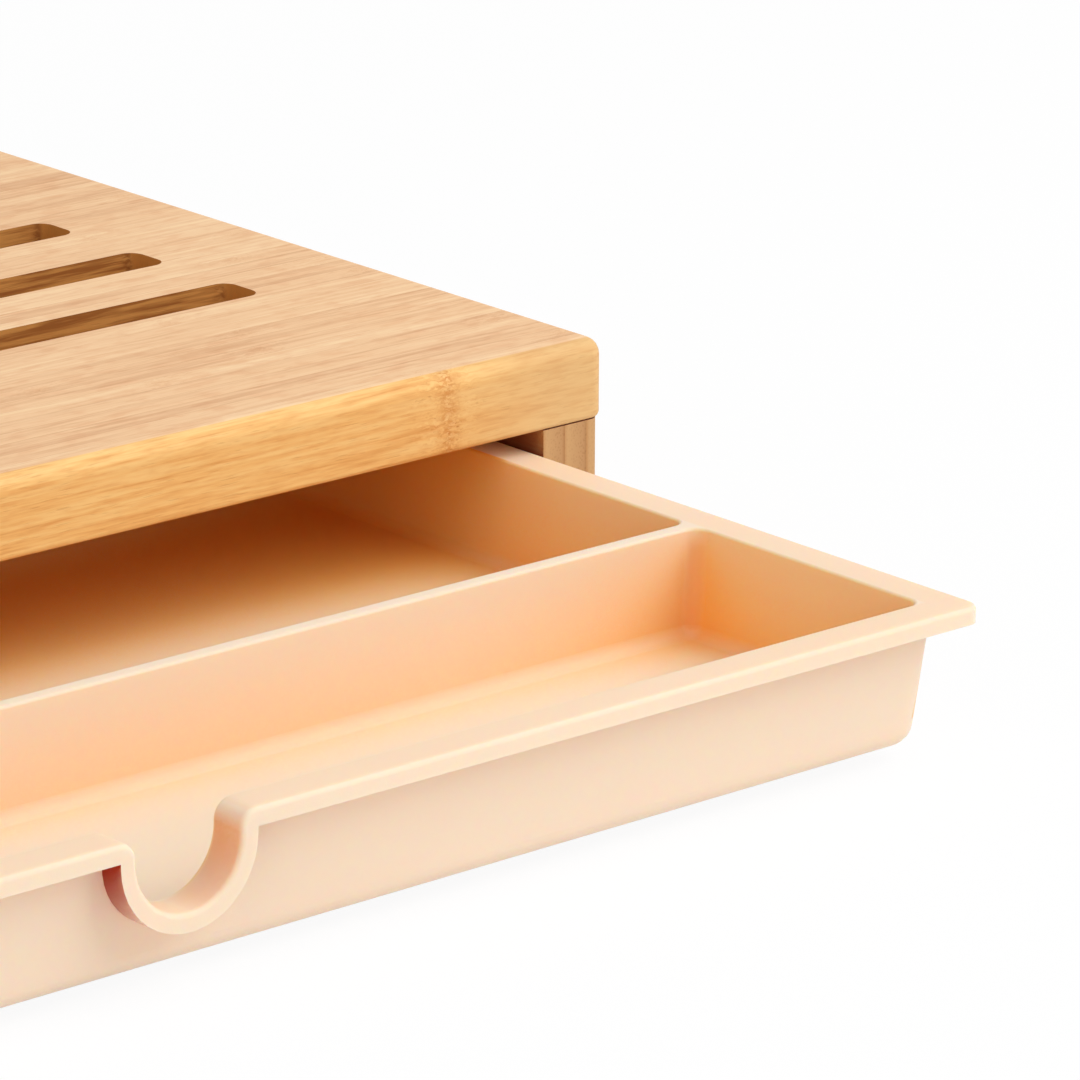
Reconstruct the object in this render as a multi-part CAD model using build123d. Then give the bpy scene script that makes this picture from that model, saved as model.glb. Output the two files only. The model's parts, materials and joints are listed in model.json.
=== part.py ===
"""Bamboo cutting board on rails, with a plastic tray that slides out to the front.

Millimetres, +Z up. X runs along the board's width, and the tray slides out
towards -Y. The origin is on the table, at the centre of the footprint that
the board and its drawn-out tray cover together.
"""

import os
from math import radians, tan

from build123d import *

# Board panel
board_width = 395.0
board_depth = 268.0
panel_thickness = 16.0
panel_corner_radius = 3.5
panel_edge_radius = 3.4
panel_lower_edge_radius = 1.2

# Crumb slots, cut right through the panel
slot_count = 5
slot_width = 11.4
slot_pitch = 30.4
slot_end_margin = 31.2
slot_corner_radius = 3.2

# Rails under the panel
rail_width = 15.0
rail_height = 32.0
rail_side_setback = 0.8
rail_end_setback = 0.3
rail_edge_chamfer = 0.6

# Rubber feet, let into the side rails
foot_radius = 5.2
foot_thickness = 4.0
foot_recess = 1.5
foot_inset = 24.0
foot_edge_chamfer = 0.6
foot_fit = 0.1

# Runners that carry the tray's flange
runner_height = 9.0
runner_front_setback = 4.0
runner_lead_in = 1.5
runner_wall_gap = 0.8
runner_flange_gap = 0.3

# Tray
tray_drawn_out = 121.6
tray_front_recess = 1.0
tray_back_gap = 2.0
tray_side_gap = 1.1
tray_top_gap = 4.5
tray_height = 27.0
tray_wall = 3.1
tray_floor = 3.0
tray_inside_depth = 20.6
tray_draft = 5.5
tray_corner_radius = 6.0
tray_bottom_radius = 4.5
flange_overhang = 4.7
flange_thickness = 3.4
flange_corner_radius = 3.0
flange_edge_radius = 1.0
divider_from_front = 67.7
divider_thickness = 3.3
divider_draft = 2.5
pocket_corner_radius = 3.0
pocket_floor_radius = 2.5
pocket_lip_radius = 0.6
foot_ring_width = 8.0

# Finger notch in the tray's front
notch_width = 21.6
notch_depth = 15.1
notch_corner_radius = 3.5

# Countersunk screws: up through the rails, through the runners, and through the feet
panel_screw_radius = 2.0
panel_screw_head_radius = 3.8
panel_screw_sunk = 6.0
panel_screw_bite = 11.0
side_screw_count = 3
side_screw_margin = 42.0
back_screw_count = 2
back_screw_margin = 100.0
small_screw_radius = 1.5
small_screw_head_radius = 2.7
small_screw_bite = 9.0
runner_screw_sunk = 0.4
foot_screw_sunk = 1.2
screw_gap = 0.15

# Dowels that join the back rail to the side rails
dowel_radius = 3.0
dowel_length = 30.0
dowel_side_bite = 9.0
dowel_end_room = 1.0
dowel_fit = 0.05
dowel_spacing = 14.0

# Largest error allowed when an edge is picked by its place
touch = 0.02

# Heights
rail_bottom = foot_thickness - foot_recess
panel_bottom = rail_bottom + rail_height
board_top = panel_bottom + panel_thickness
rim_top = panel_bottom - tray_top_gap
flange_bottom = rim_top - flange_thickness
tray_bottom = rim_top - tray_height
pocket_floor = rim_top - tray_inside_depth
runner_top = flange_bottom - runner_flange_gap

# Places along Y: the origin halfway between the tray's front and the board's back
board_back = (board_depth + tray_drawn_out) / 2
board_front = board_back - board_depth
board_middle = board_back - board_depth / 2
tray_front = board_front - tray_drawn_out
back_rail_front = board_back - rail_end_setback - rail_width
back_rail_middle = back_rail_front + rail_width / 2

# Places along X, on the right side
rail_outside = board_width / 2 - rail_side_setback
rail_inside = rail_outside - rail_width
rail_middle = rail_outside - rail_width / 2
flange_edge = rail_inside - tray_side_gap

# Tray sizes that follow from the space between the rails
tray_width = 2 * flange_edge
tray_depth = back_rail_front - tray_back_gap - board_front - tray_front_recess
tray_middle = tray_front + tray_depth / 2
rim_width = flange_overhang + tray_wall
runner_width = tray_side_gap + flange_overhang - runner_wall_gap
runner_middle = runner_top - runner_height / 2


def spaced(first, last, count):
    """Even places from first to last."""
    step = (last - first) / (count - 1)
    return [first + step * i for i in range(count)]


back_screw_reach = board_width / 2 - back_screw_margin
back_screw_places = spaced(-back_screw_reach, back_screw_reach, back_screw_count)
side_screw_reach = board_depth / 2 - side_screw_margin
side_screw_places = spaced(
    board_middle - side_screw_reach, board_middle + side_screw_reach, side_screw_count
)
runner_screw_places = [(a + b) / 2 for a, b in zip(side_screw_places, side_screw_places[1:])]
foot_places = [board_front + foot_inset, board_back - foot_inset]
dowel_heights = [rail_bottom + rail_height / 2 + side * dowel_spacing / 2 for side in (-1, 1)]


def rod(radius, start, end):
    """Round rod between two points."""
    path = Vector(*end) - Vector(*start)
    circle = Plane(origin=start, z_dir=path) * Circle(radius)
    return extrude(circle, amount=path.length)


def turned(*outline):
    """Solid turned about Z from an outline of radius and height."""
    return revolve(Plane.XZ * make_face(Polyline(*outline, close=True)), Axis.Z)


def screw(radius, head_radius, sunk, through, bite):
    """Countersunk screw along Z, blunt at its end, where it sits in its hole."""
    tip = through + bite
    return turned(
        (0, sunk), (head_radius, sunk), (radius, sunk + head_radius - radius), (radius, tip), (0, tip)
    )


def screw_hole(radius, head_radius, sunk, through, bite):
    """Counterbore, countersink, clearance hole and pilot hole for a screw, along Z from the mouth."""
    wide = head_radius + screw_gap
    loose = radius + screw_gap
    return turned(
        (0, 0), (wide, 0), (wide, sunk), (loose, sunk + head_radius - radius), (loose, through),
        (radius, through), (radius, through + bite), (0, through + bite),
    )


panel_screw_sizes = (
    panel_screw_radius, panel_screw_head_radius, panel_screw_sunk, rail_height, panel_screw_bite,
)
runner_screw_sizes = (
    small_screw_radius, small_screw_head_radius, runner_screw_sunk, runner_width, small_screw_bite,
)
foot_screw_sizes = (
    small_screw_radius, small_screw_head_radius, foot_screw_sunk, foot_thickness, small_screw_bite,
)


def up_through_rail(x, y):
    return Plane(origin=(x, y, rail_bottom))


def through_runner(y):
    return Plane(origin=(rail_inside - runner_width, y, runner_middle), z_dir=(1, 0, 0))


def up_through_foot(y):
    return Plane(origin=(rail_middle, y, 0))


def dowel(z, radius, end_room):
    """Dowel from the right side rail into the back rail's end, or the hole for it."""
    start = (rail_inside + dowel_side_bite, back_rail_middle, z)
    end = (rail_inside + dowel_side_bite - dowel_length - end_room, back_rail_middle, z)
    return rod(radius, start, end)


def block(x, y, z):
    """Box between the two ends given for each axis."""
    corner = Pos(x[0], y[0], z[0])
    return corner * Box(x[1] - x[0], y[1] - y[0], z[1] - z[0], align=(Align.MIN, Align.MIN, Align.MIN))


def drafted_block(width, depth, radius, y_middle, top, bottom, draft_x, draft_y):
    """Rounded block that narrows downwards, as a moulded wall does."""
    body = block((-width / 2, width / 2), (y_middle - depth / 2, y_middle + depth / 2), (bottom, top))
    mouth = Plane(origin=(0, 0, top))
    body = draft(body.faces().filter_by(Axis.X), mouth, -draft_x)
    body = draft(body.faces().filter_by(Axis.Y), mouth, -draft_y)
    corners = [edge for edge in body.edges() if edge.bounding_box().size.Z > (top - bottom) / 2]
    return fillet(corners, radius)


def make_panel():
    panel = Pos(0, board_middle, panel_bottom) * extrude(
        RectangleRounded(board_width, board_depth, panel_corner_radius), amount=panel_thickness
    )
    panel = fillet(panel.edges().group_by(Axis.Z)[-1], panel_edge_radius)
    panel = fillet(panel.edges().group_by(Axis.Z)[0], panel_lower_edge_radius)
    slot = RectangleRounded(board_width - 2 * slot_end_margin, slot_width, slot_corner_radius)
    field = slot_pitch * (slot_count - 1)
    for y in spaced(board_middle - field / 2, board_middle + field / 2, slot_count):
        panel -= Pos(0, y, panel_bottom) * extrude(slot, amount=panel_thickness)
    screw_space = screw_hole(*panel_screw_sizes)
    for y in side_screw_places:
        panel -= up_through_rail(rail_middle, y) * screw_space
        panel -= up_through_rail(-rail_middle, y) * screw_space
    for x in back_screw_places:
        panel -= up_through_rail(x, back_rail_middle) * screw_space
    return panel


def make_right_rail():
    length = (board_front + rail_end_setback, board_back - rail_end_setback)
    rail = block((rail_inside, rail_outside), length, (rail_bottom, panel_bottom))
    outer = rail.edges().filter_by(Axis.Z).group_by(Axis.X)[-1]
    rail = fillet(outer, panel_corner_radius - rail_end_setback)
    rail = chamfer(rail.edges().group_by(Axis.Z)[0], rail_edge_chamfer)
    for y in side_screw_places:
        rail -= up_through_rail(rail_middle, y) * screw_hole(*panel_screw_sizes)
    for y in runner_screw_places:
        rail -= through_runner(y) * screw_hole(*runner_screw_sizes)
    for y in foot_places:
        rail -= rod(foot_radius + foot_fit, (rail_middle, y, 0), (rail_middle, y, foot_thickness))
        rail -= up_through_foot(y) * screw_hole(*foot_screw_sizes)
    for z in dowel_heights:
        rail -= dowel(z, dowel_radius + dowel_fit, dowel_end_room)
    return rail


def make_back_rail():
    depth = (back_rail_front, back_rail_front + rail_width)
    rail = block((-rail_inside, rail_inside), depth, (rail_bottom, panel_bottom))
    long_edges = rail.edges().filter_by(Axis.X).group_by(Axis.Z)[0]
    rail = chamfer(long_edges, rail_edge_chamfer)
    for x in back_screw_places:
        rail -= up_through_rail(x, back_rail_middle) * screw_hole(*panel_screw_sizes)
    for z in dowel_heights:
        hole = dowel(z, dowel_radius + dowel_fit, dowel_end_room)
        rail -= hole + mirror(hole, Plane.YZ)
    return rail


def make_right_runner():
    length = (board_front + runner_front_setback, back_rail_front)
    height = (runner_top - runner_height, runner_top)
    runner = block((rail_inside - runner_width, rail_inside), length, height)
    nose = runner.edges().filter_by(Axis.X).group_by(Axis.Y)[0].sort_by(Axis.Z)[-1]
    runner = chamfer(nose, runner_lead_in)
    for y in runner_screw_places:
        runner -= through_runner(y) * screw_hole(*runner_screw_sizes)
    return runner


def make_right_foot(y):
    foot = Pos(rail_middle, y, 0) * extrude(Circle(foot_radius), amount=foot_thickness)
    foot = chamfer(foot.edges().group_by(Axis.Z)[0], foot_edge_chamfer)
    return foot - up_through_foot(y) * screw_hole(*foot_screw_sizes)


def make_pocket(front, back):
    """Space for one compartment, drafted, with rounded corners and a rounded floor."""
    width = tray_width - 2 * rim_width
    pocket = drafted_block(
        width, back - front, pocket_corner_radius,
        (front + back) / 2, rim_top, pocket_floor, tray_draft, divider_draft,
    )
    return fillet(pocket.edges().group_by(Axis.Z)[0], pocket_floor_radius)


def on_notch_plane(outline, depth):
    """Solid from an outline on the tray's front plane, whose origin is the notch's top centre."""
    front = Plane(origin=(0, tray_front, rim_top), x_dir=(1, 0, 0), z_dir=(0, -1, 0))
    return extrude(front * outline, amount=-depth)


def make_notch():
    """Space of the finger notch: a U whose top corners roll over into the rim."""
    half = notch_width / 2
    mouth = half + notch_corner_radius
    with BuildSketch() as outline:
        with BuildLine():
            RadiusArc((half, half - notch_depth), (-half, half - notch_depth), half)
            Line((-half, half - notch_depth), (-half, -notch_corner_radius))
            RadiusArc((-half, -notch_corner_radius), (-mouth, 0), -notch_corner_radius)
            Polyline((-mouth, 0), (-mouth, half), (mouth, half), (mouth, 0))
            RadiusArc((mouth, 0), (half, -notch_corner_radius), -notch_corner_radius)
            Line((half, -notch_corner_radius), (half, half - notch_depth))
        make_face()
    return on_notch_plane(outline.sketch, 2 * rim_width + notch_depth * tan(radians(tray_draft)))


def make_notch_lip():
    """The flange carried down and round the notch, proud of the front wall."""
    half = notch_width / 2 + flange_thickness
    straight = notch_depth + flange_thickness - half
    sides = Rectangle(2 * half, straight, align=(Align.CENTER, Align.MAX))
    return on_notch_plane(Pos(0, -straight) * Circle(half) + sides, rim_width)


def lies_on(edge, axis, level):
    """Whether an edge lies in the plane at a level along an axis."""
    return all(abs(getattr(point, axis) - level) < touch for point in (edge @ 0, edge @ 0.5, edge @ 1))


def round_notch_and_rim(tray):
    """Round the rim's edges inside and out, each as one run that dips round the notch."""
    half = notch_width / 2 + touch
    mouth = half + notch_corner_radius
    tray_back = tray_front + tray_depth

    def by_notch(point):
        height = point.Z - rim_top
        in_u = abs(point.X) < half and height > -notch_depth - touch
        return in_u or (abs(point.X) < mouth and height > -notch_corner_radius - touch)

    def by_outside(point):
        side = abs(point.X) > flange_edge - flange_corner_radius
        return side or not tray_front + flange_corner_radius < point.Y < tray_back - flange_corner_radius

    def outer_top(edge):
        point = edge @ 0.5
        if lies_on(edge, "Z", rim_top):
            return by_outside(point)
        return lies_on(edge, "Y", tray_front) and by_notch(point)

    def inner(edge):
        point = edge @ 0.5
        in_depth = tray_front + rim_width - touch < point.Y < tray_back - rim_width + touch
        if not in_depth or abs(point.X) > flange_edge - rim_width + touch:
            return False
        across = abs((edge @ 0).Y - (edge @ 1).Y) > rim_width / 2
        by_front_wall = point.Y < tray_front + 2 * rim_width and not across
        return lies_on(edge, "Z", rim_top) or (by_front_wall and by_notch(point))

    tray = fillet(tray.edges().filter_by(outer_top), flange_edge_radius)
    return fillet(tray.edges().filter_by(inner), pocket_lip_radius)


def make_tray():
    shell = drafted_block(
        tray_width - 2 * flange_overhang, tray_depth - 2 * flange_overhang, tray_corner_radius,
        tray_middle, rim_top, tray_bottom, tray_draft, tray_draft,
    )
    shell = fillet(shell.edges().group_by(Axis.Z)[0], tray_bottom_radius)
    flange = Pos(0, tray_middle, flange_bottom) * extrude(
        RectangleRounded(tray_width, tray_depth, flange_corner_radius), amount=flange_thickness
    )
    tray = shell + flange + make_notch_lip()
    divider_front = tray_front + divider_from_front
    tray -= make_pocket(tray_front + rim_width, divider_front)
    tray -= make_pocket(divider_front + divider_thickness, tray_front + tray_depth - rim_width)
    inset = 2 * (flange_overhang + tray_height * tan(radians(tray_draft)) + foot_ring_width)
    tray -= Pos(0, tray_middle, tray_bottom) * extrude(
        RectangleRounded(tray_width - inset, tray_depth - inset, tray_corner_radius),
        amount=tray_height - tray_inside_depth - tray_floor,
    )
    return round_notch_and_rim(tray - make_notch())


def both_sides(shapes):
    """The shapes and their mirror images on the left side."""
    return shapes + [mirror(shape, Plane.YZ) for shape in shapes]


def save(node, *shapes):
    solids = [solid for shape in shapes for solid in shape.solids()]
    export_step(solids[0] if len(solids) == 1 else Compound(solids), f"parts/{node}.step")


os.makedirs("parts", exist_ok=True)
save("cutting_panel", make_panel())
save("back_rail", make_back_rail())
save("drawer_tray", make_tray())

for name, piece in {"side_rail": make_right_rail(), "runner": make_right_runner()}.items():
    save(f"right_{name}", piece)
    save(f"left_{name}", mirror(piece, Plane.YZ))

for end, y in zip(("front", "back"), foot_places):
    foot = make_right_foot(y)
    save(f"{end}_right_foot", foot)
    save(f"{end}_left_foot", mirror(foot, Plane.YZ))

panel_screw = screw(*panel_screw_sizes)
side_screws = [up_through_rail(rail_middle, y) * panel_screw for y in side_screw_places]
back_screws = [up_through_rail(x, back_rail_middle) * panel_screw for x in back_screw_places]
save("panel_screws", *both_sides(side_screws), *back_screws)
runner_screws = [through_runner(y) * screw(*runner_screw_sizes) for y in runner_screw_places]
foot_screws = [up_through_foot(y) * screw(*foot_screw_sizes) for y in foot_places]
save("runner_screws", *both_sides(runner_screws))
save("foot_screws", *both_sides(foot_screws))
save("corner_dowels", *both_sides([dowel(z, dowel_radius, 0) for z in dowel_heights]))
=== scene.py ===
"""Looks of a bamboo cutting board and its plastic tray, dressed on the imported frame.

Metres, as in the frame. Inside the shaders, lengths are in millimetres.
"""

import json
from math import cos, radians, sin

import bpy
from mathutils import Matrix, Vector


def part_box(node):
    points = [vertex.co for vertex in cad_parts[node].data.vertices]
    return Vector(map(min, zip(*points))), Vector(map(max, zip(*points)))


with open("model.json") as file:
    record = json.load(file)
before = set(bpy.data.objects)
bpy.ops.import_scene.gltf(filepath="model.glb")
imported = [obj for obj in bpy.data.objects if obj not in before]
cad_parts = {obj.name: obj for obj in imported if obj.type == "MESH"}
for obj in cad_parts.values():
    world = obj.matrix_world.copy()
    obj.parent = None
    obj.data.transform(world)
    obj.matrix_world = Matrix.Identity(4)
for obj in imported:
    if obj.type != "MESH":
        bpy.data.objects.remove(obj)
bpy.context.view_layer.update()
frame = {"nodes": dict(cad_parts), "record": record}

MM = 0.001

# Camera: where it stands, how it is turned, and how far it sees
CAMERA_PLACE = Vector((-0.6314, -1.0096, 0.4036))
CAMERA_HEADING = radians(49.068)
CAMERA_DIP = radians(17.503)
CAMERA_ROLL = radians(-0.229)
CAMERA_LENS = 223.92
CAMERA_SENSOR = 36.0
CAMERA_SIGHT = 20.0

# Light
SKY_LEVEL = 0.448
KEY_PLACE = Vector((0.95, -0.98, 1.45))
KEY_SIZE = 1.8
KEY_POWER = 28.0
FILL_PLACE = Vector((-1.4, -0.6, 0.7))
FILL_SIZE = 1.2
FILL_POWER = 5.0

# Floor: the share of its shadows that shows, and how far in under the board's edge they show in full
FLOOR_SIZE = 8.0
FLOOR_ALBEDO = 0.95
FLOOR_SHADOW_SHARE = 0.07
COVERED_EDGE = 15.0

# How far a surface looks for what encloses it
ENCLOSED_REACH = 60 * MM
CREVICE_REACH = 25 * MM
OPENNESS_SAMPLES = 6

# Sockets of the Mix node where it mixes colours
MIX_INPUTS = (0, 6, 7)
MIX_RESULT = 2


def srgb(red, green, blue):
    """Linear colour from the 0 to 255 values that a screen shows."""

    def linear(value):
        share = value / 255
        return share / 12.92 if share <= 0.04045 else ((share + 0.055) / 1.055) ** 2.4

    return (linear(red), linear(green), linear(blue), 1.0)


WHITE = (1.0, 1.0, 1.0, 1.0)


class Shader:
    """A material whose nodes are wired by short calls that give back a node's output."""

    def __init__(self, name="", tree=None):
        if tree is None:
            self.material = bpy.data.materials.new(name)
            self.material.use_nodes = True
            tree = self.material.node_tree
        self.tree = tree
        self.tree.nodes.clear()

    def feed(self, socket, value):
        """Link a socket to a node's output, or set it to a plain value."""
        if isinstance(value, bpy.types.NodeSocket):
            self.tree.links.new(value, socket)
        else:
            socket.default_value = value

    def node(self, kind, settings=None, **inputs):
        """New node. Its inputs are named as its sockets are, with underscores for spaces."""
        node = self.tree.nodes.new("ShaderNode" + kind)
        for name, value in (settings or {}).items():
            setattr(node, name, value)
        for name, value in inputs.items():
            self.feed(node.inputs[name.replace("_", " ")], value)
        return node

    def math(self, operation, *values):
        node = self.node("Math", {"operation": operation})
        for socket, value in zip(node.inputs, values):
            self.feed(socket, value)
        return node.outputs[0]

    def add(self, *values):
        total = values[0]
        for value in values[1:]:
            total = self.math("ADD", total, value)
        return total

    def times(self, *values):
        product = values[0]
        for value in values[1:]:
            product = self.math("MULTIPLY", product, value)
        return product

    def minus(self, first, second):
        return self.math("SUBTRACT", first, second)

    def over(self, first, second):
        return self.math("DIVIDE", first, second)

    def size(self, value):
        """A value without its sign."""
        return self.math("ABSOLUTE", value)

    def rest(self, share):
        """What a share leaves of 1."""
        return self.minus(1.0, share)

    def centred(self, value):
        """A value from 0 to 1, moved to lie from -0.5 to 0.5."""
        return self.minus(value, 0.5)

    def weighted(self, *pairs):
        """Sum of values, each times its weight."""
        return self.add(*(self.times(value, weight) for value, weight in pairs))

    def map_range(self, settings, *values):
        node = self.node("MapRange", settings)
        for socket, value in zip(node.inputs, values):
            self.feed(socket, value)
        return node.outputs[0]

    def rise(self, value, low, high):
        """Smooth rise from 0 at low to 1 at high, or a fall if low is the larger."""
        return self.map_range({"interpolation_type": "SMOOTHSTEP"}, value, low, high, 0.0, 1.0)

    def span(self, value, to_low, to_high):
        """A value from 0 to 1 spread between two levels."""
        return self.map_range({}, value, 0.0, 1.0, to_low, to_high)

    def vector(self, x, y, z):
        return self.node("CombineXYZ", X=x, Y=y, Z=z).outputs[0]

    def scaled(self, values, rates):
        """Vector of three values, each times a rate of its own."""
        return self.vector(*(self.times(value, rate) for value, rate in zip(values, rates)))

    def split(self, vector):
        return self.node("SeparateXYZ", Vector=vector).outputs

    def noise(self, vector, detail=2.0, roughness=0.5):
        settings = {"Scale": 1.0, "Detail": detail, "Roughness": roughness}
        return self.node("TexNoise", Vector=vector, **settings).outputs[0]

    def mix(self, share, first, second, blend="MIX"):
        node = self.node("Mix", {"data_type": "RGBA", "blend_type": blend})
        for index, value in zip(MIX_INPUTS, (share, first, second)):
            self.feed(node.inputs[index], value)
        return node.outputs[MIX_RESULT]

    def tint(self, share, base, colour):
        """Base multiplied by a colour, by a share."""
        return self.mix(share, base, colour, "MULTIPLY")

    def place(self):
        """The point on the object, in millimetres."""
        point = self.node("TexCoord").outputs["Object"]
        return self.node("VectorMath", {"operation": "SCALE"}, Vector=point, Scale=1 / MM).outputs[0]

    def facing(self):
        """How much the surface faces along X, Y and Z, each from 0 to 1."""
        normal = self.node("TexCoord").outputs["Normal"]
        return self.split(self.node("VectorMath", {"operation": "ABSOLUTE"}, Vector=normal).outputs[0])

    def openness(self, reach, by_itself=False):
        """1 where nothing stands within reach of the surface, and less where it is enclosed."""
        settings = {"samples": OPENNESS_SAMPLES, "only_local": by_itself}
        return self.node("AmbientOcclusion", settings, Distance=reach).outputs["AO"]

    def bump(self, height, distance):
        return self.node("Bump", Height=height, Distance=distance * MM, Strength=1.0).outputs[0]

    def mix_surfaces(self, share, first, second):
        node = self.node("MixShader", Fac=share)
        for socket, surface in zip(node.inputs[1:], (first, second)):
            self.feed(socket, surface)
        return node.outputs[0]

    def show(self, surface, output="OutputMaterial"):
        self.feed(self.node(output).inputs["Surface"], surface)

    def finish(self, **inputs):
        """Close the material with a principled surface."""
        self.show(self.node("BsdfPrincipled", **inputs).outputs[0])
        return self.material


# Bamboo strips, glued side by side. The fibres wander across them, at rates per millimetre
STRIP_WIDTH = 5.5
FIBRE_WANDER = 1.4
WANDER_RATE_ALONG = 0.012
WANDER_RATE_ACROSS = 0.05

# Nodes, the rings of the culm: their places along a strip, their width, and how they bend the fibres
NODE_SPACING = 230.0
FRONT_NODE_X = 157.5
NODE_HALF_WIDTH = 2.4
NODE_REACH = 5.0 * NODE_HALF_WIDTH
NODE_RING = 1.8 * NODE_HALF_WIDTH
NODE_CREST_FADE = (1.1, 0.3)
NODE_RIPPLE = 6.0
RIPPLE_RATE_ACROSS = 0.7
RIPPLE_RATE_UP = 0.45
NODE_SWERVE = 2.6
SWERVE_RATE_ALONG = 0.5

# Length and width of what the fibres draw
FINE_LINE = (11.0, 0.45)
STREAK = (26.0, 1.3)
BAND = (90.0, 5.0)
FLECK = (5.0, 0.35)
NODE_SPECKLE = (1.3, 0.6)
FIBRE_ROUGHNESS = 0.6

# Distances over which marks come in: from a strip's edge, and from the front's node
GLUE_FADE = (0.2, 0.03)
SEAM_FADE = (0.9, 0.0)
NODE_EDGE_FADE = (0.3, 2.4)
PAST_NODE_FADE = (-4.0, 30.0)

# How far a surface turns to an axis where it starts to count as facing it, and where it does in full
BROADSIDE_TURN = (0.16, 0.3)
END_TURN = (0.5, 0.8)

# Mottle and end-grain dots: how fast they change per millimetre
MOTTLE_RATE_ALONG = 0.16
MOTTLE_RATE_ACROSS = 0.3
DOT_RATE_ACROSS = 1.9
DOT_RATE_UP = 1.5

# Shifts that give each strip fibres of its own
STRIP_SHIFT_ALONG = 400.0
STRIP_SHIFT_UP = 31.7

# Past the record's openings, the slots' colours are full up to the first distance and gone at the second
FIELD_SIDE_FADE = (7.0, 9.0)
FIELD_END_FADE = (2.0, 3.0)

# Strips seen edge-on, and their broad sides
EDGE_PALE = srgb(252, 215, 169)
EDGE_TAN = srgb(245, 201, 154)
EDGE_DARK = srgb(227, 177, 131)
BROAD_PALE = srgb(252, 208, 136)
BROAD_GOLD = srgb(247, 194, 119)
BROAD_DARK = srgb(232, 168, 95)
BROAD_PAST_NODE = srgb(226, 184, 127)
PAST_NODE_SHARE = 0.75

# Marks on both. All but the crest multiply the colour under them
LINE_TINT = srgb(222, 188, 150)
LINE_SHARE = 0.3
MOTTLE_TINT = srgb(240, 218, 204)
MOTTLE_SHARE = 0.38
FLECK_TINT = srgb(196, 150, 104)
FLECK_SHARE = 0.2
NODE_TINT = srgb(222, 176, 126)
NODE_CREST = srgb(250, 214, 158)
CREST_SHARE = 0.28
GLUE_TINT = srgb(196, 150, 108)

# End grain, walls of the slots, and wood in the shade
END_PALE = srgb(210, 165, 113)
END_DARK = srgb(192, 144, 96)
DOT_TINT = srgb(186, 142, 100)
DOT_SHARE = 0.35
SEAM_TINT = srgb(222, 194, 160)
# Slot walls: a little scorch from the cutter, and painted shade in their darker colours
CUT_PALE = srgb(212, 148, 76)
CUT_DARK = srgb(162, 98, 42)
CUT_END = srgb(206, 135, 60)
WOOD_IN_SHADE = srgb(112, 34, 14)
SHADE_SHARE = 0.9
SHADE_OPENNESS = (0.6, 0.32)

WOOD_RELIEF = 0.05
WOOD_SPECULAR = 0.25


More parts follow.
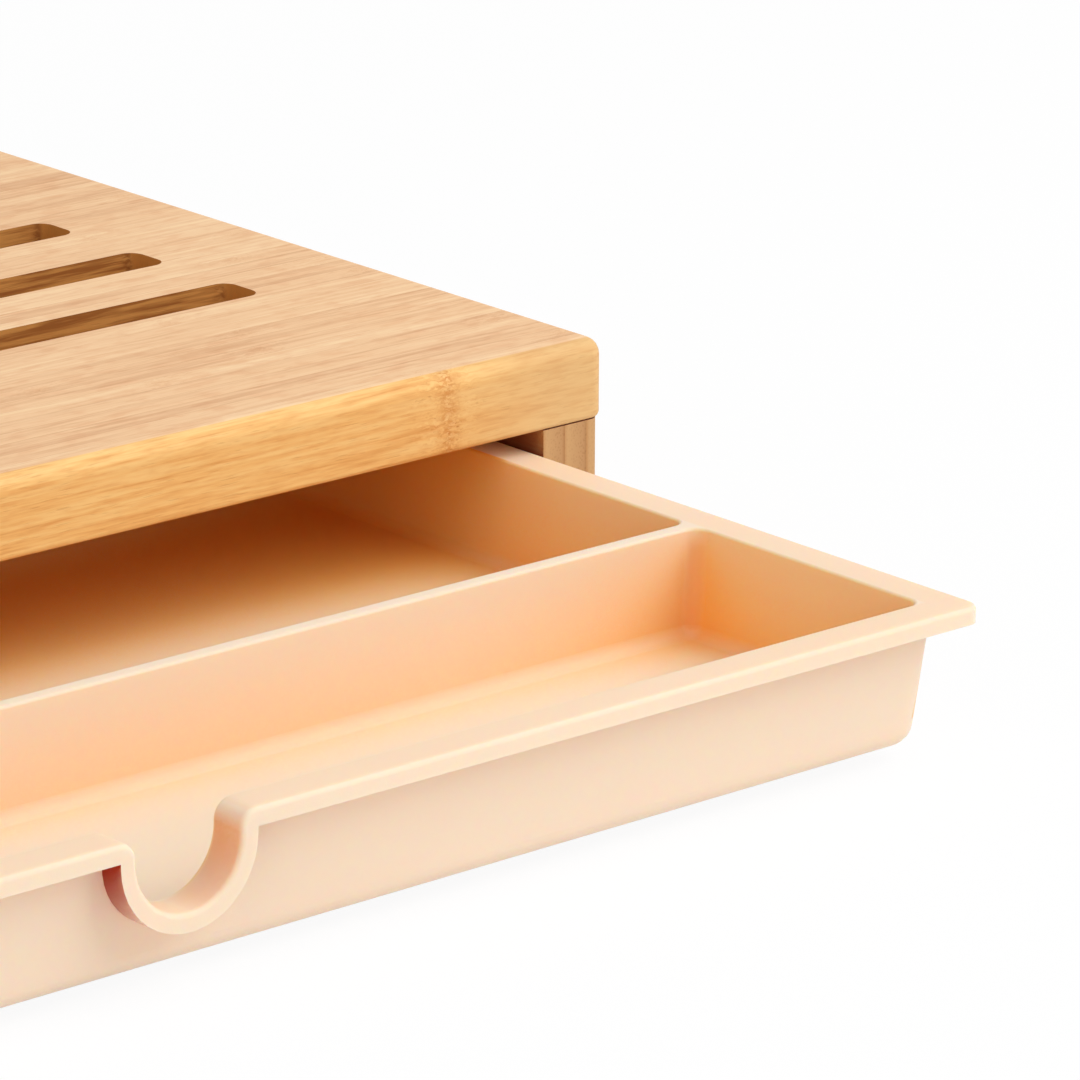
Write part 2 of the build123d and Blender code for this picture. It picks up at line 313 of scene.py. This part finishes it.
class Bamboo(Shader):
    """Strips that lie side by side along the stack axis, with their fibres along the grain axis."""

    def __init__(self, name, grain, stack, first_edge, seed, front_node=None):
        super().__init__(name)
        self.seed = seed
        self.axes = dict(zip("XYZ", self.split(self.place())))
        self.faces = dict(zip("XYZ", self.facing()))
        third = next(axis for axis in "XYZ" if axis not in (grain, stack))
        self.along = self.axes[grain]
        self.height = self.axes[third]
        self.end = self.rise(self.faces[grain], *END_TURN)
        self.lay_strips(self.axes[stack], first_edge)
        self.place_nodes(front_node)
        self.run_fibres()

    def lay_strips(self, stacked, first_edge):
        """Divide the wood into strips, each with its own random numbers."""
        wander_along = self.times(self.along, WANDER_RATE_ALONG)
        wander = self.noise(self.vector(wander_along, self.times(stacked, WANDER_RATE_ACROSS), self.seed))
        self.across = self.add(stacked, self.times(self.centred(wander), FIBRE_WANDER))
        turn = self.over(self.minus(stacked, first_edge), STRIP_WIDTH)
        self.strip = self.math("FLOOR", turn)
        self.part = self.minus(turn, self.strip)
        edge_share = self.minus(0.5, self.size(self.centred(self.part)))
        self.from_edge = self.times(edge_share, STRIP_WIDTH)
        number = self.add(self.strip, self.seed + 0.5)
        dice = self.node("TexWhiteNoise", {"noise_dimensions": "1D"}, W=number)
        self.tone, self.shift, self.extra = self.split(dice.outputs["Color"])

    def place_nodes(self, front_node):
        """Distance along the fibres from the nearest node of the strip, whose ring is a little bent."""
        node_place = self.times(self.shift, NODE_SPACING)
        self.is_front = 0.0
        if front_node is not None:
            self.is_front = self.math("LESS_THAN", self.strip, 0.5)
            node_place = self.span(self.is_front, node_place, front_node)
        ripple_across = self.times(self.across, RIPPLE_RATE_ACROSS)
        ripple_up = self.times(self.height, RIPPLE_RATE_UP)
        ripple = self.noise(self.vector(self.strip, ripple_across, ripple_up), detail=3.0)
        bent = self.add(self.along, self.times(self.centred(ripple), NODE_RIPPLE))
        self.from_place = self.minus(bent, node_place)
        cycle = self.over(self.from_place, NODE_SPACING)
        nearest = self.minus(cycle, self.math("ROUND", cycle))
        self.from_node = self.times(self.size(nearest), NODE_SPACING)

    def run_fibres(self):
        """Run the fibres along each strip, swirled at its nodes."""
        swirl_along = self.times(self.along, SWERVE_RATE_ALONG)
        swirl = self.noise(self.vector(swirl_along, self.across, self.height))
        by_node = self.rise(self.from_node, NODE_REACH, 0.0)
        swerve = self.times(self.centred(swirl), by_node, NODE_SWERVE)
        self.run = self.add(self.along, self.times(self.extra, STRIP_SHIFT_ALONG))
        self.side = self.add(self.across, swerve)
        self.level = self.add(self.height, swerve, self.times(self.strip, STRIP_SHIFT_UP))
        self.fine = self.fibres(FINE_LINE, detail=3.0)
        self.streak = self.fibres(STREAK, detail=3.0)
        self.fleck = self.rise(self.fibres(FLECK, detail=1.0), 0.62, 0.76)

    def fibres(self, size, detail):
        """Noise drawn out along the fibres, in marks of about this length and width."""
        length, width = size
        run = self.over(self.run, length)
        place = self.vector(run, self.over(self.side, width), self.over(self.level, width))
        return self.noise(place, detail, FIBRE_ROUGHNESS)

    def edge_colour(self):
        """Strips seen edge-on, as on the board's top: pinkish tan."""
        band = self.fibres(BAND, detail=2.0)
        mood = self.weighted((self.tone, 0.16), (self.streak, 0.55), (band, 0.55))
        colour = self.mix(self.rise(mood, 0.42, 0.62), EDGE_PALE, EDGE_TAN)
        return self.mix(self.rise(mood, 0.6, 0.86), colour, EDGE_DARK)

    def broad_colour(self):
        """Broad sides of the strips, as on the board's front: yellower, with clearer streaks."""
        mood = self.weighted((self.streak, 0.75), (self.fine, 0.35), (self.tone, 0.08))
        colour = self.mix(self.rise(mood, 0.42, 0.62), BROAD_PALE, BROAD_GOLD)
        colour = self.mix(self.rise(mood, 0.56, 0.78), colour, BROAD_DARK)
        past_node = self.times(self.is_front, self.rise(self.from_place, *PAST_NODE_FADE))
        return self.mix(self.times(past_node, PAST_NODE_SHARE), colour, BROAD_PAST_NODE)

    def mark_sides(self, colour, broadside, glue):
        """Fibre lines, denser to one side of each strip, then mottle, flecks, nodes and glue lines."""
        lines = self.times(self.rise(self.fine, 0.5, 0.7), self.span(self.part, 0.45, 0.9))
        colour = self.tint(self.times(lines, LINE_SHARE), colour, LINE_TINT)
        mottle_along = self.times(self.along, MOTTLE_RATE_ALONG)
        mottle_across = self.times(self.side, MOTTLE_RATE_ACROSS)
        mottle = self.rise(self.noise(self.vector(mottle_along, mottle_across, self.level)), 0.45, 0.7)
        colour = self.tint(self.times(mottle, MOTTLE_SHARE), colour, MOTTLE_TINT)
        colour = self.tint(self.times(self.fleck, FLECK_SHARE), colour, FLECK_TINT)
        colour = self.mark_nodes(colour, broadside)
        return self.tint(self.times(glue, self.span(self.tone, 0.05, 0.3)), colour, GLUE_TINT)

    def mark_nodes(self, colour, broadside):
        """Speckled rings with a pale crest, clear on the broad sides and fainter on the edges."""
        strength = self.span(broadside, self.span(self.extra, 0.05, 0.4), 0.75)
        body = self.span(broadside, self.rise(self.from_edge, *NODE_EDGE_FADE), 1.0)
        speckle = self.rise(self.fibres(NODE_SPECKLE, detail=2.0), 0.36, 0.62)
        at_node = self.rise(self.from_node, NODE_RING, 0.0)
        ring = self.times(at_node, strength, body, self.span(speckle, 0.1, 0.8))
        colour = self.tint(ring, colour, NODE_TINT)
        at_crest = self.rise(self.from_node, *NODE_CREST_FADE)
        crest = self.times(at_crest, body, strength, self.rise(speckle, 0.7, 0.2))
        return self.mix(self.times(crest, CREST_SHARE), colour, NODE_CREST)

    def end_colour(self):
        """End grain: dots of fibre bundles, close together on one side of each strip, and soft seams."""
        dot_across = self.times(self.across, DOT_RATE_ACROSS)
        dot_up = self.times(self.height, DOT_RATE_UP)
        dots = self.node("TexVoronoi", Vector=self.vector(dot_across, dot_up, self.seed), Scale=1.0)
        dot = self.times(self.rise(dots.outputs["Distance"], 0.46, 0.2), self.span(self.part, 0.2, 0.7))
        colour = self.mix(self.part, END_PALE, END_DARK)
        colour = self.tint(self.times(dot, DOT_SHARE), colour, DOT_TINT)
        seam = self.times(self.rise(self.from_edge, *SEAM_FADE), self.span(self.tone, 0.1, 0.6))
        return self.tint(seam, colour, SEAM_TINT)

    def scorch_and_shade_colour(self):
        """Walls of the slots: scorched a little by the cutter, and darkened with painted shade."""
        colour = self.mix(self.rise(self.streak, 0.4, 0.62), CUT_PALE, CUT_DARK)
        return self.mix(self.end, colour, CUT_END)

    def in_slot_field(self, half, front, back):
        """1 in the area that the slots cover, and 0 around it."""
        side_full, side_none = FIELD_SIDE_FADE
        end_full, end_none = FIELD_END_FADE
        return self.times(
            self.rise(self.size(self.axes["X"]), half + side_none, half + side_full),
            self.rise(self.axes["Y"], front - end_none, front - end_full),
            self.rise(self.axes["Y"], back + end_none, back + end_full),
        )


def bamboo(name, grain, stack, first_edge, seed, front_node=None, slots=None, shadowed=False):
    """Material of glued bamboo strips, with slots through it, or with its hidden faces in shade."""
    wood = Bamboo(name, grain, stack, first_edge, seed, front_node)
    in_field = wood.in_slot_field(*slots) if slots else 0.0
    broadside = wood.times(wood.rise(wood.faces[stack], *BROADSIDE_TURN), wood.rest(in_field))
    glue = wood.times(wood.rise(wood.from_edge, *GLUE_FADE), wood.rest(broadside))
    colour = wood.mix(broadside, wood.edge_colour(), wood.broad_colour())
    colour = wood.mark_sides(colour, broadside, glue)
    colour = wood.mix(wood.end, colour, wood.end_colour())
    if slots:
        # Painted shade and scorch on the slots' walls
        cut = wood.times(in_field, wood.rise(wood.faces["Z"], 0.9, 0.45))
        colour = wood.mix(cut, colour, wood.scorch_and_shade_colour())

    # Hidden faces, which light reaches only by way of other wood and plastic
    if shadowed:
        hidden = wood.rise(wood.openness(ENCLOSED_REACH), *SHADE_OPENNESS)
        hidden = wood.times(hidden, SHADE_SHARE, wood.rest(wood.end))
        colour = wood.mix(hidden, colour, WOOD_IN_SHADE)

    relief = wood.weighted((wood.fine, 0.6), (wood.fleck, -0.5), (glue, -0.4))
    roughness = wood.add(wood.span(wood.streak, 0.5, 0.66), wood.times(wood.end, 0.12))
    return wood.finish(
        Base_Color=colour,
        Roughness=roughness,
        Normal=wood.bump(relief, WOOD_RELIEF),
        Specular_IOR_Level=WOOD_SPECULAR,
    )


def slot_field():
    """Half width and the front and back ends of the area that the crumb slots cover, in millimetres."""
    openings = frame["record"]["physics"]["openings"]
    boxes = [opening["box_m"] for opening in openings if opening["name"].startswith("crumb_slot")]
    half = max(box[1][0] for box in boxes)
    front = min(box[0][1] for box in boxes)
    back = max(box[1][1] for box in boxes)
    return half / MM, front / MM, back / MM


# The tray: how far in from its edges and its base its inside starts, and its finger notch
EDGE_TO_INSIDE = 7.7
BASE_TO_INSIDE = 5.8
INSIDE_FADE = 0.6
NOTCH_HALF_WIDTH = 10.8
NOTCH_DEPTH = 15.1

# Distances from the middle of the notch between which its painted shade stops, and its lip starts
NOTCH_STOP = (2.6 * NOTCH_HALF_WIDTH, 2.0 * NOTCH_HALF_WIDTH)
LIP_START = (NOTCH_HALF_WIDTH + 0.9, NOTCH_HALF_WIDTH + 2.2)

# How far below the rim's top the corners' painted shade starts, and where it is full
CORNER_START = 0.9
CORNER_FULL = 4.5

# Flow marks, fine skin and scuffs: how fast they change along X, Y and Z, per millimetre
FLOW_RATES = (0.012, 0.02, 0.05)
SKIN_RATES = (3.0, 3.0, 3.0)
SCUFF_RATES = (1.6, 0.03, 1.6)

# Peach plastic in the open
PEACH = srgb(251, 226, 203)
PEACH_DEEP = srgb(250, 222, 197)
PEACH_SCUFFED = srgb(252, 232, 214)
SCUFF_SHARE = 0.12
# Painted shade on the rim's top
RIM_SHADE_TINT = srgb(255, 245, 230)
RIM_SHADE_SHARE = 0.7

# Painted shade and bounce light inside the tray: deeper colours, and the openness at which each starts
# and is full
ENCLOSED_SHADE_PEACH = srgb(250, 186, 80)
ENCLOSED_OPENNESS = (0.74, 0.26)
ALONG_WALL_SHARE = 0.8
INNERMOST_SHADE_PEACH = srgb(250, 168, 80)
INNERMOST_OPENNESS = (0.42, 0.14)
NOTCH_SHADE_PEACH = srgb(230, 146, 58)
NOTCH_OPENNESS = (0.98, 0.74)
FLANK_SHADOW_RED = srgb(160, 36, 0)
FLANK_OPENNESS = (0.86, 0.6)
SIDE_WALL_SHADE_TINT = srgb(255, 246, 216)
CORNER_SHADE_TINT = srgb(248, 208, 140)
CORNER_SHARE = 0.4
LEVEL_CORNER_SHARE = 0.6

# Light that the plastic lets through: how far red, green and blue reach
GLOW_WEIGHT = 0.5
GLOW_REACH = (6.0, 2.4, 0.8)

SKIN_RELIEF = 0.012
PLASTIC_SPECULAR = 0.14


def inside_tray(shader, point):
    """1 within the tray's walls and above its base, and 0 outside."""
    x, y, z = point
    low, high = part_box("drawer_tray")
    floor = low.z / MM + BASE_TO_INSIDE
    inside = shader.rise(z, floor - INSIDE_FADE, floor)
    for value, start, end in ((x, low.x, high.x), (y, low.y, high.y)):
        from_start = shader.minus(value, start / MM)
        from_end = shader.minus(end / MM, value)
        for distance in (from_start, from_end):
            past_wall = shader.rise(distance, EDGE_TO_INSIDE - INSIDE_FADE, EDGE_TO_INSIDE)
            inside = shader.times(inside, past_wall)
    return inside


def paint_compartment_shade(shader, colour, facing, inside):
    """Painted shade and bounce light: inside the compartments, light that goes from wall to wall is
    painted in as a deeper colour.
    """
    facing_x, facing_y, _ = facing
    openness = shader.openness(ENCLOSED_REACH)
    enclosed = shader.times(inside, shader.rise(openness, *ENCLOSED_OPENNESS))
    enclosed = shader.times(enclosed, shader.span(facing_y, 1.0, ALONG_WALL_SHARE))
    # Painted shade where the surface is enclosed, deeper where it is innermost
    colour = shader.mix(enclosed, colour, ENCLOSED_SHADE_PEACH)
    innermost = shader.times(inside, shader.rise(openness, *INNERMOST_OPENNESS))
    colour = shader.mix(innermost, colour, INNERMOST_SHADE_PEACH)
    # Painted shade on the inner walls that face along X
    return shader.tint(shader.times(inside, facing_x), colour, SIDE_WALL_SHADE_TINT)


def paint_corner_shade(shader, colour, facing, inside, height, rim_top):
    """Painted shade in the compartments' rounded corners, which meet light only from their own walls."""
    facing_x, facing_y, facing_z = facing
    upright = shader.rise(shader.times(facing_x, facing_y), 0.05, 0.5)
    sideways = shader.math("MAXIMUM", facing_x, facing_y)
    level = shader.times(shader.rise(shader.times(facing_z, sideways), 0.1, 0.5), LEVEL_CORNER_SHARE)
    below_rim = shader.rise(height, rim_top - CORNER_START, rim_top - CORNER_FULL)
    corner = shader.times(inside, below_rim, shader.math("MAXIMUM", upright, level))
    return shader.tint(shader.times(corner, CORNER_SHARE), colour, CORNER_SHADE_TINT)


def paint_notch_shade(shader, colour, point, facing_x, outside, rim_top):
    """Painted shade on the notch's sides, as deep as the compartments', and a painted red shadow beside
    its lip.
    """
    x, _, z = point
    near_notch = shader.rise(shader.size(x), *NOTCH_STOP)
    sides = shader.times(outside, near_notch, facing_x)
    crevice = shader.openness(CREVICE_REACH, by_itself=True)
    round_middle = rim_top - NOTCH_DEPTH + NOTCH_HALF_WIDTH
    below_middle = shader.math("MINIMUM", shader.minus(z, round_middle), 0.0)
    squared = shader.add(shader.times(x, x), shader.times(below_middle, below_middle))
    beside_lip = shader.rise(shader.math("POWER", squared, 0.5), *LIP_START)
    # Painted shade inside the notch
    notch_shade = shader.times(sides, shader.rise(crevice, *NOTCH_OPENNESS), shader.rest(beside_lip))
    colour = shader.mix(notch_shade, colour, NOTCH_SHADE_PEACH)
    # Painted red shadow beside the lip
    flank_shadow = shader.times(sides, shader.rise(crevice, *FLANK_OPENNESS), beside_lip)
    return shader.mix(flank_shadow, colour, FLANK_SHADOW_RED)


def peach_plastic():
    """Moulded peach plastic with a fine matte skin and faint scuffs along the way it slides, and painted
    shade in its hollows.
    """
    shader = Shader("peach_plastic")
    point = shader.split(shader.place())
    facing = shader.facing()
    flow = shader.noise(shader.scaled(point, FLOW_RATES), detail=3.0)
    skin = shader.noise(shader.scaled(point, SKIN_RATES))
    scuffs = shader.noise(shader.scaled(point, SCUFF_RATES), detail=3.0, roughness=0.7)
    scuff = shader.rise(scuffs, 0.62, 0.78)
    colour = shader.mix(flow, PEACH, PEACH_DEEP)
    colour = shader.mix(shader.times(scuff, SCUFF_SHARE), colour, PEACH_SCUFFED)

    inside = inside_tray(shader, point)
    outside = shader.rest(inside)
    facing_x, _, facing_z = facing
    height = point[2]
    rim_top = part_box("drawer_tray")[1].z / MM
    colour = paint_compartment_shade(shader, colour, facing, inside)
    colour = paint_corner_shade(shader, colour, facing, inside, height, rim_top)

    # Painted shade: the rim's top is tinted a shade deeper than the walls
    rim_shade = shader.times(outside, shader.rise(facing_z, 0.8, 0.95), RIM_SHADE_SHARE)
    colour = shader.tint(rim_shade, colour, RIM_SHADE_TINT)
    colour = paint_notch_shade(shader, colour, point, facing_x, outside, rim_top)

    return shader.finish(
        Base_Color=colour,
        Roughness=shader.add(shader.span(flow, 0.4, 0.5), shader.times(scuff, 0.06)),
        Normal=shader.bump(shader.add(skin, shader.times(scuff, -0.5)), SKIN_RELIEF),
        Subsurface_Weight=GLOW_WEIGHT,
        Subsurface_Radius=GLOW_REACH,
        Subsurface_Scale=MM,
        Specular_IOR_Level=PLASTIC_SPECULAR,
    )


# Dowels, feet and screws
DOWEL_LINE_RATES = (0.08, 1.6, 1.6)
DOWEL_PALE = srgb(222, 190, 148)
DOWEL_DARK = srgb(184, 146, 102)
RUBBER_PALE = srgb(196, 193, 188)
RUBBER_DARK = srgb(160, 157, 152)
RUBBER_DUST = srgb(214, 208, 198)
DUST_SHARE = 0.3
RUBBER_RELIEF = 0.06
STEEL_CLEAN = srgb(205, 205, 208)
STEEL_STAINED = srgb(176, 170, 158)
STEEL_RELIEF = 0.02


def dowel_wood():
    """Plain turned wood with its grain along X."""
    shader = Shader("dowel_wood")
    lines = shader.noise(shader.scaled(shader.split(shader.place()), DOWEL_LINE_RATES), detail=3.0)
    return shader.finish(
        Base_Color=shader.mix(lines, DOWEL_PALE, DOWEL_DARK),
        Roughness=shader.span(lines, 0.5, 0.7),
        Normal=shader.bump(lines, WOOD_RELIEF),
    )


def foot_rubber():
    """Grey rubber with patches of dust."""
    shader = Shader("foot_rubber")
    place = shader.place()
    pores = shader.noise(place, detail=4.0, roughness=0.7)
    dust = shader.rise(shader.noise(place), 0.4, 0.8)
    colour = shader.mix(pores, RUBBER_PALE, RUBBER_DARK)
    return shader.finish(
        Base_Color=shader.mix(shader.times(dust, DUST_SHARE), colour, RUBBER_DUST),
        Roughness=shader.span(pores, 0.65, 0.85),
        Normal=shader.bump(pores, RUBBER_RELIEF),
    )


def screw_steel():
    """Zinc-plated steel, a little stained."""
    shader = Shader("screw_steel")
    stain = shader.noise(shader.place(), detail=3.0, roughness=0.6)
    return shader.finish(
        Base_Color=shader.mix(stain, STEEL_CLEAN, STEEL_STAINED),
        Metallic=1.0,
        Roughness=shader.span(stain, 0.25, 0.5),
        Normal=shader.bump(stain, STEEL_RELIEF),
    )


def dress(nodes, material):
    """Give the nodes' material slots a material."""
    for node in nodes:
        for slot in frame["nodes"][node].material_slots:
            slot.material = material


def dress_frame():
    """Give every node of the frame its material."""
    panel_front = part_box("cutting_panel")[0].y / MM
    rail_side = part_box("right_side_rail")[0].x / MM
    back_rail_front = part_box("back_rail")[0].y / MM
    dress(["cutting_panel"], bamboo(
        "panel_bamboo", "X", "Y", panel_front, seed=3, front_node=FRONT_NODE_X, slots=slot_field(),
    ))
    dress(["back_rail"], bamboo("back_rail_bamboo", "X", "Y", back_rail_front, seed=40))
    dress(
        ["right_side_rail", "left_side_rail", "right_runner", "left_runner"],
        bamboo("side_rail_bamboo", "Y", "X", rail_side, seed=90, shadowed=True),
    )
    dress(["drawer_tray"], peach_plastic())
    dress(["corner_dowels"], dowel_wood())
    dress([node for node in frame["nodes"] if node.endswith("_foot")], foot_rubber())
    dress(["panel_screws", "runner_screws", "foot_screws"], screw_steel())


def seen_directly(shader):
    """1 for rays from the camera, a mirror or glass, and 0 for the rays that carry light."""
    path = shader.node("LightPath")
    straight = shader.math("MAXIMUM", path.outputs["Is Camera Ray"], path.outputs["Is Transmission Ray"])
    return shader.math("MAXIMUM", straight, path.outputs["Is Glossy Ray"])


def under_board(shader):
    """1 on the floor under the board, and 0 around it."""
    low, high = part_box("cutting_panel")
    x, y, _ = shader.split(shader.place())
    return shader.times(
        shader.rise(shader.size(x), high.x / MM, high.x / MM - COVERED_EDGE),
        shader.rise(y, low.y / MM, low.y / MM + COVERED_EDGE),
        shader.rise(y, high.y / MM, high.y / MM - COVERED_EDGE),
    )


def floor_white():
    """Plain white to the camera, but for a share of the real shadows: weak, and full under the board."""
    shader = Shader("floor_white")
    matte = shader.node("BsdfDiffuse", Color=(FLOOR_ALBEDO, FLOOR_ALBEDO, FLOOR_ALBEDO, 1.0)).outputs[0]
    glow = shader.node("Emission", Color=WHITE, Strength=1.0).outputs[0]
    glow_share = shader.span(under_board(shader), 1 - FLOOR_SHADOW_SHARE, 0.0)
    shader.show(shader.mix_surfaces(shader.times(seen_directly(shader), glow_share), matte, glow))
    return shader.material


def add_floor():
    """Wide floor under the object."""
    mesh = bpy.data.meshes.new("floor")
    reach = FLOOR_SIZE / 2
    corners = [(-reach, -reach, 0), (reach, -reach, 0), (reach, reach, 0), (-reach, reach, 0)]
    mesh.from_pydata(corners, [], [(0, 1, 2, 3)])
    mesh.materials.append(floor_white())
    floor = bpy.data.objects.new("floor", mesh)
    bpy.context.scene.collection.objects.link(floor)


def add_sky():
    """Even soft light from all round, shown as white."""
    world = bpy.data.worlds.new("studio")
    bpy.context.scene.world = world
    world.use_nodes = True
    shader = Shader(tree=world.node_tree)
    strength = shader.span(seen_directly(shader), SKY_LEVEL, 1.0)
    shader.show(shader.node("Background", Color=WHITE, Strength=strength).outputs[0], "OutputWorld")


def add_soft_lamp(name, place, size, power):
    """Square soft lamp that points at the origin, under the middle of the object."""
    light = bpy.data.lights.new(name, "AREA")
    light.shape = "SQUARE"
    light.size = size
    light.energy = power
    lamp = bpy.data.objects.new(name, light)
    lamp.location = place
    lamp.rotation_euler = (-place).to_track_quat("-Z", "Y").to_euler()
    bpy.context.scene.collection.objects.link(lamp)


def add_camera():
    """Camera at the photograph's view."""
    ahead = Vector((
        cos(CAMERA_HEADING) * cos(CAMERA_DIP),
        sin(CAMERA_HEADING) * cos(CAMERA_DIP),
        -sin(CAMERA_DIP),
    ))
    right = Vector((sin(CAMERA_HEADING), -cos(CAMERA_HEADING), 0))
    down = ahead.cross(right)
    turned_right = right * cos(CAMERA_ROLL) + down * sin(CAMERA_ROLL)
    turned_down = down * cos(CAMERA_ROLL) - right * sin(CAMERA_ROLL)
    lens = bpy.data.cameras.new("camera")
    lens.lens = CAMERA_LENS
    lens.sensor_width = CAMERA_SENSOR
    lens.clip_end = CAMERA_SIGHT
    camera = bpy.data.objects.new("camera", lens)
    facing = Matrix((turned_right, -turned_down, -ahead)).transposed().to_4x4()
    camera.matrix_world = Matrix.Translation(CAMERA_PLACE) @ facing
    bpy.context.scene.collection.objects.link(camera)
    bpy.context.scene.camera = camera


bpy.context.scene.view_settings.view_transform = "Standard"
add_camera()
add_sky()
add_soft_lamp("key", KEY_PLACE, KEY_SIZE, KEY_POWER)
add_soft_lamp("fill", FILL_PLACE, FILL_SIZE, FILL_POWER)
add_floor()
dress_frame()
